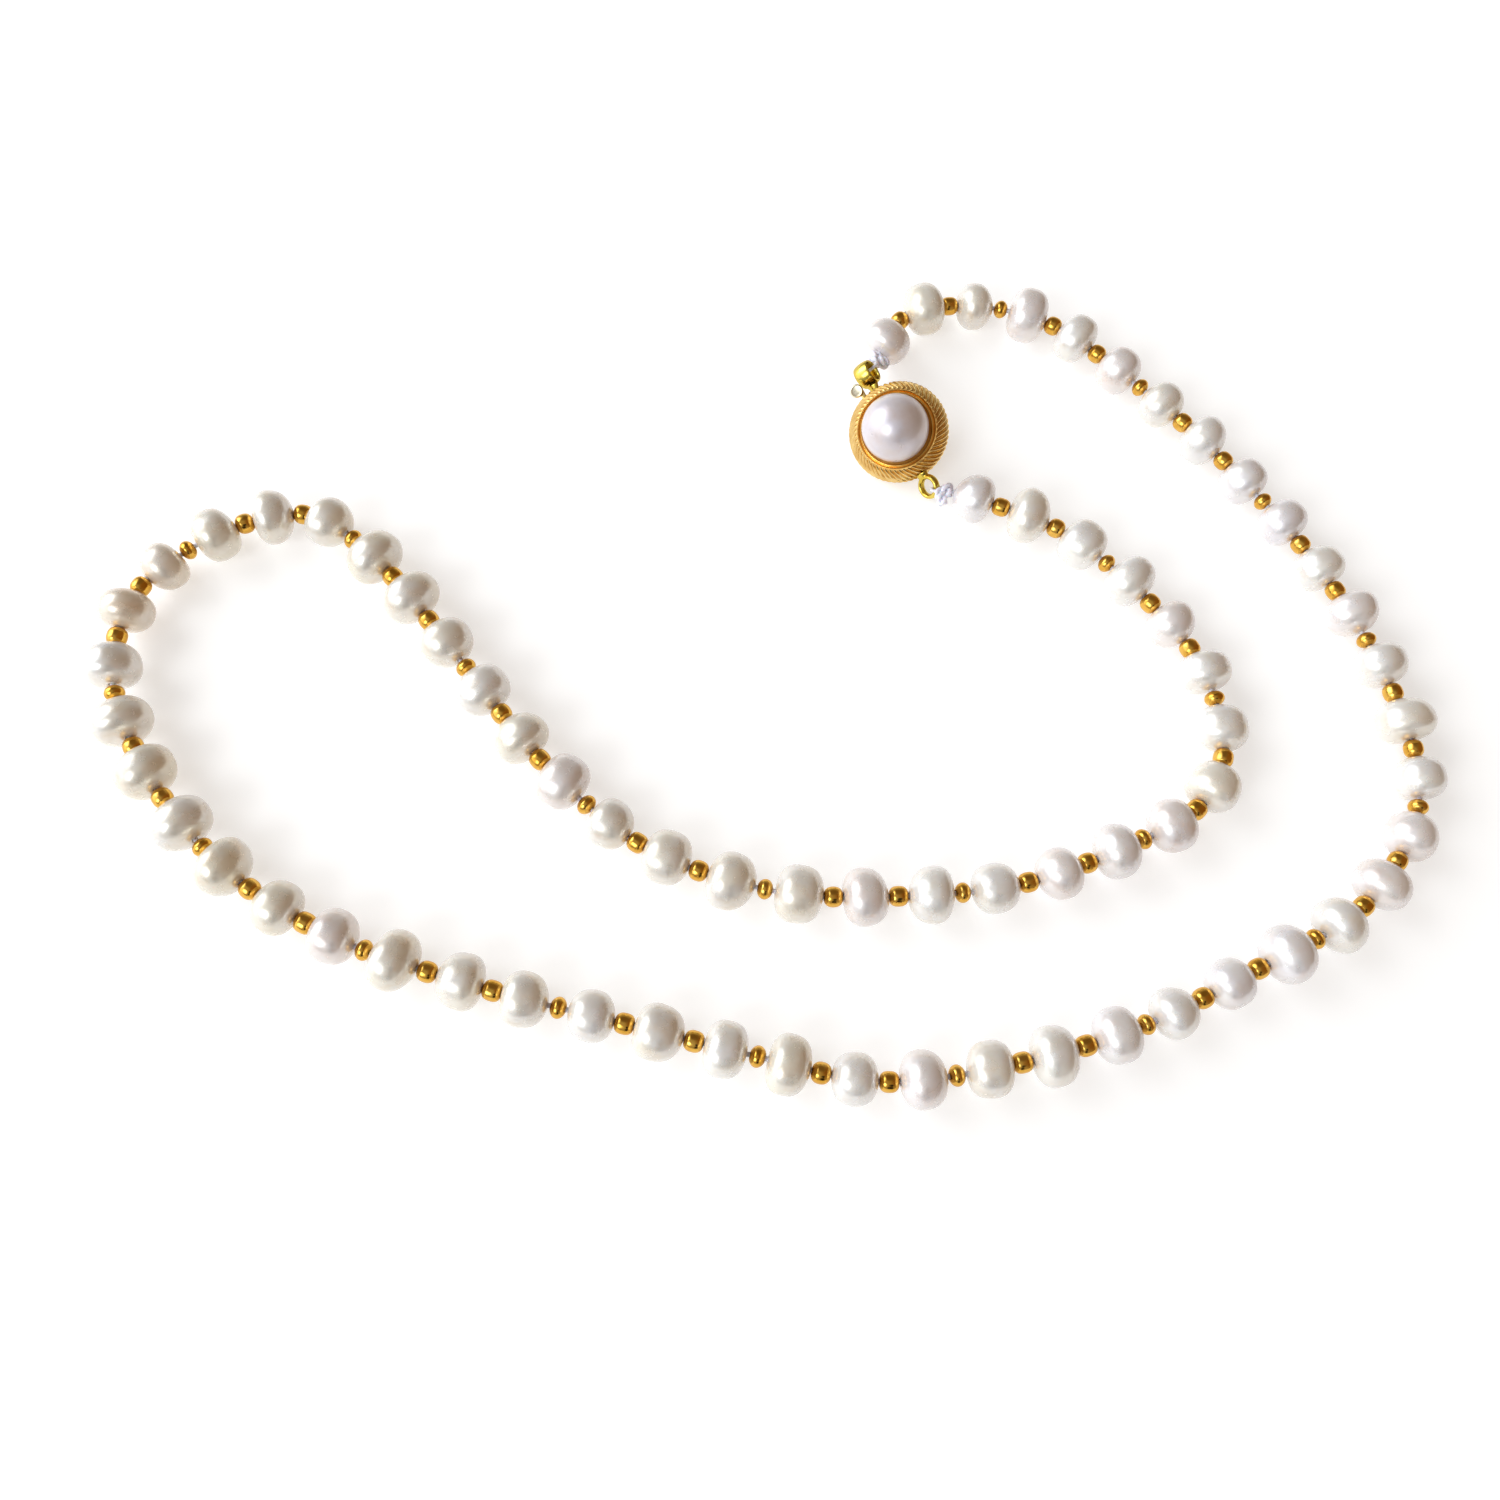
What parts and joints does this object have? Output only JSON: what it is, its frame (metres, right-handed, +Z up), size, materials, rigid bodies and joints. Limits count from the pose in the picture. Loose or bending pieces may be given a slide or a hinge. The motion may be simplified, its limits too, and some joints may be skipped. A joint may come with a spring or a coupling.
{
  "type": "pearl necklace",
  "caption": "Strand of button freshwater pearls with small gold beads between them, closed by a round gold box clasp set with a large pearl and lying in an open double curve.",
  "frame": {"origin": "middle of the necklace's bounding box, on the surface it lies on", "axes": "+Z up off the surface; +X along the longest extent, with the clasp on the +X, +Y side"},
  "size_m": [0.137, 0.093, 0.0095],
  "materials": {
    "pearl": "opaque white to cream nacre with a soft pearly lustre",
    "clasp_pearl": "opaque mauve-cream nacre with a soft pearly lustre",
    "gold_bead": "high-polish gold plate",
    "clasp_gold": "polished pale gold plate",
    "polished_gold": "mirror-polished gold plate",
    "thread": "white twisted silk thread"
  },
  "bodies": {
    "clasp": {"housing_shell": "clasp_gold", "rope_band": "clasp_gold", "pearl_cup": "polished_gold", "clasp_pearl": "clasp_pearl", "pearl_peg": "clasp_gold", "back_plate": "clasp_gold", "housing_eyelet": "clasp_gold"},
    "tongue": {"tongue_plate": "clasp_gold", "tongue_eyelet": "clasp_gold"},
    "spring_leaf": {"spring_leaf": "clasp_gold", "thumb_tab": "clasp_gold"},
    "pearls_01": {"pearls_01": "pearl", "thread_end_a": "thread"},
    "pearls_02": {"pearls_02": "pearl"},
    "pearls_03": {"pearls_03": "pearl"},
    "pearls_04": {"pearls_04": "pearl"},
    "pearls_05": {"pearls_05": "pearl"},
    "pearls_06": {"pearls_06": "pearl"},
    "pearls_07": {"pearls_07": "pearl"},
    "pearls_08": {"pearls_08": "pearl"},
    "pearls_09": {"pearls_09": "pearl"},
    "pearls_10": {"pearls_10": "pearl"},
    "pearls_11": {"pearls_11": "pearl"},
    "pearls_12": {"pearls_12": "pearl"},
    "pearls_13": {"pearls_13": "pearl"},
    "pearls_14": {"pearls_14": "pearl"},
    "pearls_15": {"pearls_15": "pearl"},
    "pearls_16": {"pearls_16": "pearl"},
    "pearls_17": {"pearls_17": "pearl"},
    "pearls_18": {"pearls_18": "pearl"},
    "pearls_19": {"pearls_19": "pearl"},
    "pearls_20": {"pearls_20": "pearl"},
    "pearls_21": {"pearls_21": "pearl"},
    "pearls_22": {"pearls_22": "pearl"},
    "pearls_23": {"pearls_23": "pearl", "thread_end_b": "thread"},
    "spacer_01": {"spacer_01": "gold_bead"},
    "spacer_02": {"spacer_02": "gold_bead"},
    "spacer_03": {"spacer_03": "gold_bead"},
    "spacer_04": {"spacer_04": "gold_bead"},
    "spacer_05": {"spacer_05": "gold_bead"},
    "spacer_06": {"spacer_06": "gold_bead"},
    "spacer_07": {"spacer_07": "gold_bead"},
    "spacer_08": {"spacer_08": "gold_bead"},
    "spacer_09": {"spacer_09": "gold_bead"},
    "spacer_10": {"spacer_10": "gold_bead"},
    "spacer_11": {"spacer_11": "gold_bead"},
    "spacer_12": {"spacer_12": "gold_bead"},
    "spacer_13": {"spacer_13": "gold_bead"},
    "spacer_14": {"spacer_14": "gold_bead"},
    "spacer_15": {"spacer_15": "gold_bead"},
    "spacer_16": {"spacer_16": "gold_bead"},
    "spacer_17": {"spacer_17": "gold_bead"},
    "spacer_18": {"spacer_18": "gold_bead"},
    "spacer_19": {"spacer_19": "gold_bead"},
    "spacer_20": {"spacer_20": "gold_bead"},
    "spacer_21": {"spacer_21": "gold_bead"},
    "spacer_22": {"spacer_22": "gold_bead"}
  },
  "joints": [
    {"name": "tongue_slide", "type": "slide", "parent": "clasp", "child": "tongue", "axis": [-0.4837, 0.8377, 0.2535], "range_m": [0, 0.005]},
    {"name": "tab_press", "type": "hinge", "parent": "tongue", "child": "spring_leaf", "pos_m": [0.01567, 0.02471, 0.00231], "axis": [-0.8318, -0.3498, -0.4309], "range_deg": [0, 4], "stiffness_Nm_per_rad": 0.02},
    {"name": "tongue_swivel", "type": "hinge", "parent": "tongue", "child": "pearls_01", "pos_m": [0.01119, 0.03285, 0.00433], "axis": [0.6885, 0.1853, 0.7012], "range_deg": [0, 20]},
    {"name": "housing_swivel", "type": "hinge", "parent": "clasp", "child": "pearls_23", "pos_m": [0.01786, 0.02033, 0.00163], "axis": [-0.7433, -0.5461, 0.3864], "range_deg": [-20, 0]},
    {"name": "spacer_01_side", "type": "hinge", "parent": "pearls_01", "child": "spacer_01", "pos_m": [0.02631, 0.04359, 0.00275], "axis": [0, 0, -1], "range_deg": [-30, 0]},
    {"name": "spacer_01_lift", "type": "hinge", "parent": "spacer_01", "child": "pearls_02", "pos_m": [0.02826, 0.04317, 0.00275], "axis": [0.2133, 0.977, 0], "range_deg": [-30, 30]},
    {"name": "spacer_02_side", "type": "hinge", "parent": "pearls_02", "child": "spacer_02", "pos_m": [0.04177, 0.03386, 0.00275], "axis": [0, 0, -1], "range_deg": [-30, 0]},
    {"name": "spacer_02_lift", "type": "hinge", "parent": "spacer_02", "child": "pearls_03", "pos_m": [0.04317, 0.03244, 0.00275], "axis": [-0.7138, -0.7004, 0], "range_deg": [-30, 30]},
    {"name": "spacer_03_side", "type": "hinge", "parent": "pearls_03", "child": "spacer_03", "pos_m": [0.05387, 0.01934, 0.00275], "axis": [0, 0, 1], "range_deg": [0, 30]},
    {"name": "spacer_03_lift", "type": "hinge", "parent": "spacer_03", "child": "pearls_04", "pos_m": [0.05502, 0.0177, 0.00275], "axis": [-0.821, -0.5709, 0], "range_deg": [-30, 30]},
    {"name": "spacer_04_side", "type": "hinge", "parent": "pearls_04", "child": "spacer_04", "pos_m": [0.06273, 0.00267, 0.00275], "axis": [0, 0, 1], "range_deg": [0, 30]},
    {"name": "spacer_04_lift", "type": "hinge", "parent": "spacer_04", "child": "pearls_05", "pos_m": [0.06337, 0.00078, 0.00275], "axis": [0.948, 0.3183, 0], "range_deg": [-30, 30]},
    {"name": "spacer_05_side", "type": "hinge", "parent": "pearls_05", "child": "spacer_05", "pos_m": [0.0655, -0.01585, 0.00275], "axis": [0, 0, -1], "range_deg": [-28, 28]},
    {"name": "spacer_22_side", "type": "hinge", "parent": "pearls_23", "child": "spacer_22", "pos_m": [0.03548, 0.01114, 0.00275], "axis": [0, 0, 1], "range_deg": [-30, 0]},
    {"name": "spacer_22_lift", "type": "hinge", "parent": "spacer_22", "child": "pearls_22", "pos_m": [0.03688, 0.00971, 0.00275], "axis": [-0.7139, -0.7002, 0], "range_deg": [-30, 30]},
    {"name": "spacer_21_side", "type": "hinge", "parent": "pearls_22", "child": "spacer_21", "pos_m": [0.04568, -0.00415, 0.00275], "axis": [0, 0, 1], "range_deg": [-30, 0]},
    {"name": "spacer_21_lift", "type": "hinge", "parent": "spacer_21", "child": "pearls_21", "pos_m": [0.04601, -0.00612, 0.00275], "axis": [0.9865, 0.1639, 0], "range_deg": [-30, 30]},
    {"name": "spacer_20_side", "type": "hinge", "parent": "pearls_21", "child": "spacer_20", "pos_m": [0.03753, -0.01995, 0.00275], "axis": [0, 0, -1], "range_deg": [0, 30]},
    {"name": "spacer_20_lift", "type": "hinge", "parent": "spacer_20", "child": "pearls_20", "pos_m": [0.03571, -0.02078, 0.00275], "axis": [0.4146, -0.91, 0], "range_deg": [-30, 30]},
    {"name": "spacer_19_side", "type": "hinge", "parent": "pearls_20", "child": "spacer_19", "pos_m": [0.01929, -0.02575, 0.00275], "axis": [0, 0, -1], "range_deg": [0, 30]},
    {"name": "spacer_19_lift", "type": "hinge", "parent": "spacer_19", "child": "pearls_19", "pos_m": [0.0173, -0.02596, 0.00275], "axis": [-0.1037, 0.9946, 0], "range_deg": [-30, 30]},
    {"name": "spacer_18_side", "type": "hinge", "parent": "pearls_19", "child": "spacer_18", "pos_m": [0.00011, -0.02581, 0.00275], "axis": [0, 0, 1], "range_deg": [-30, 0]},
    {"name": "spacer_18_lift", "type": "hinge", "parent": "spacer_18", "child": "pearls_18", "pos_m": [-0.00185, -0.0254, 0.00275], "axis": [0.2074, 0.9783, 0], "range_deg": [-30, 30]},
    {"name": "spacer_17_side", "type": "hinge", "parent": "pearls_18", "child": "spacer_17", "pos_m": [-0.01744, -0.01778, 0.00275], "axis": [0, 0, 1], "range_deg": [-30, 0]},
    {"name": "spacer_17_lift", "type": "hinge", "parent": "spacer_17", "child": "pearls_17", "pos_m": [-0.01893, -0.01644, 0.00275], "axis": [-0.6683, -0.7439, 0], "range_deg": [-30, 30]},
    {"name": "spacer_16_side", "type": "hinge", "parent": "pearls_17", "child": "spacer_16", "pos_m": [-0.03013, -0.00339, 0.00275], "axis": [0, 0, -1], "range_deg": [0, 30]},
    {"name": "spacer_16_lift", "type": "hinge", "parent": "spacer_16", "child": "pearls_16", "pos_m": [-0.03137, -0.00183, 0.00275], "axis": [-0.7817, -0.6237, 0], "range_deg": [-30, 30]},
    {"name": "spacer_15_side", "type": "hinge", "parent": "pearls_16", "child": "spacer_15", "pos_m": [-0.04253, 0.01127, 0.00275], "axis": [0, 0, -1], "range_deg": [0, 30]},
    {"name": "spacer_15_lift", "type": "hinge", "parent": "spacer_15", "child": "pearls_15", "pos_m": [-0.0441, 0.01251, 0.00275], "axis": [0.6188, 0.7855, 0], "range_deg": [-30, 30]},
    {"name": "spacer_14_side", "type": "hinge", "parent": "pearls_15", "child": "spacer_14", "pos_m": [-0.05927, 0.01103, 0.00275], "axis": [0, 0, 1], "range_deg": [-30, 0]},
    {"name": "spacer_14_lift", "type": "hinge", "parent": "spacer_14", "child": "pearls_14", "pos_m": [-0.06086, 0.00981, 0.00275], "axis": [-0.6085, 0.7936, 0], "range_deg": [-30, 30]},
    {"name": "spacer_13_side", "type": "hinge", "parent": "pearls_14", "child": "spacer_13", "pos_m": [-0.06526, -0.00493, 0.00275], "axis": [0, 0, 1], "range_deg": [-30, 0]},
    {"name": "spacer_13_lift", "type": "hinge", "parent": "spacer_13", "child": "pearls_13", "pos_m": [-0.06461, -0.00682, 0.00275], "axis": [0.9455, 0.3256, 0], "range_deg": [-30, 30]},
    {"name": "spacer_12_side", "type": "hinge", "parent": "pearls_13", "child": "spacer_12", "pos_m": [-0.05502, -0.02102, 0.00275], "axis": [0, 0, -1], "range_deg": [0, 30]},
    {"name": "spacer_12_lift", "type": "hinge", "parent": "spacer_12", "child": "pearls_12", "pos_m": [-0.05357, -0.02241, 0.00275], "axis": [0.693, 0.721, 0], "range_deg": [-30, 30]},
    {"name": "spacer_11_side", "type": "hinge", "parent": "pearls_12", "child": "spacer_11", "pos_m": [-0.03923, -0.03123, 0.00275], "axis": [0, 0, -1], "range_deg": [0, 30]},
    {"name": "spacer_11_lift", "type": "hinge", "parent": "spacer_11", "child": "pearls_11", "pos_m": [-0.03737, -0.03197, 0.00275], "axis": [-0.3738, -0.9275, 0], "range_deg": [-30, 30]},
    {"name": "spacer_10_side", "type": "hinge", "parent": "pearls_11", "child": "spacer_10", "pos_m": [-0.02112, -0.03669, 0.00275], "axis": [0, 0, 1], "range_deg": [-30, 0]},
    {"name": "spacer_10_lift", "type": "hinge", "parent": "spacer_10", "child": "pearls_10", "pos_m": [-0.01918, -0.03716, 0.00275], "axis": [-0.2334, -0.9724, 0], "range_deg": [-30, 30]},
    {"name": "spacer_09_side", "type": "hinge", "parent": "pearls_10", "child": "spacer_09", "pos_m": [-0.00274, -0.04122, 0.00275], "axis": [0, 0, 1], "range_deg": [-30, 0]},
    {"name": "spacer_09_lift", "type": "hinge", "parent": "spacer_09", "child": "pearls_09", "pos_m": [-0.0008, -0.0417, 0.00275], "axis": [0.238, 0.9713, 0], "range_deg": [-30, 30]},
    {"name": "spacer_08_side", "type": "hinge", "parent": "pearls_09", "child": "spacer_08", "pos_m": [0.01558, -0.04339, 0.00275], "axis": [0, 0, -1], "range_deg": [0, 30]},
    {"name": "spacer_08_lift", "type": "hinge", "parent": "spacer_08", "child": "pearls_08", "pos_m": [0.01756, -0.04308, 0.00275], "axis": [-0.1554, 0.9878, 0], "range_deg": [-30, 30]},
    {"name": "spacer_07_side", "type": "hinge", "parent": "pearls_08", "child": "spacer_07", "pos_m": [0.03395, -0.03891, 0.00275], "axis": [0, 0, -1], "range_deg": [0, 30]},
    {"name": "spacer_07_lift", "type": "hinge", "parent": "spacer_07", "child": "pearls_07", "pos_m": [0.03582, -0.03821, 0.00275], "axis": [0.3529, -0.9357, 0], "range_deg": [-30, 30]},
    {"name": "spacer_06_side", "type": "hinge", "parent": "pearls_07", "child": "spacer_06", "pos_m": [0.05141, -0.03088, 0.00275], "axis": [0, 0, 1], "range_deg": [-30, 0]},
    {"name": "spacer_06_lift", "type": "hinge", "parent": "spacer_06", "child": "pearls_06", "pos_m": [0.0532, -0.02998, 0.00275], "axis": [0.4517, -0.8922, 0], "range_deg": [-30, 30]}
  ]
}
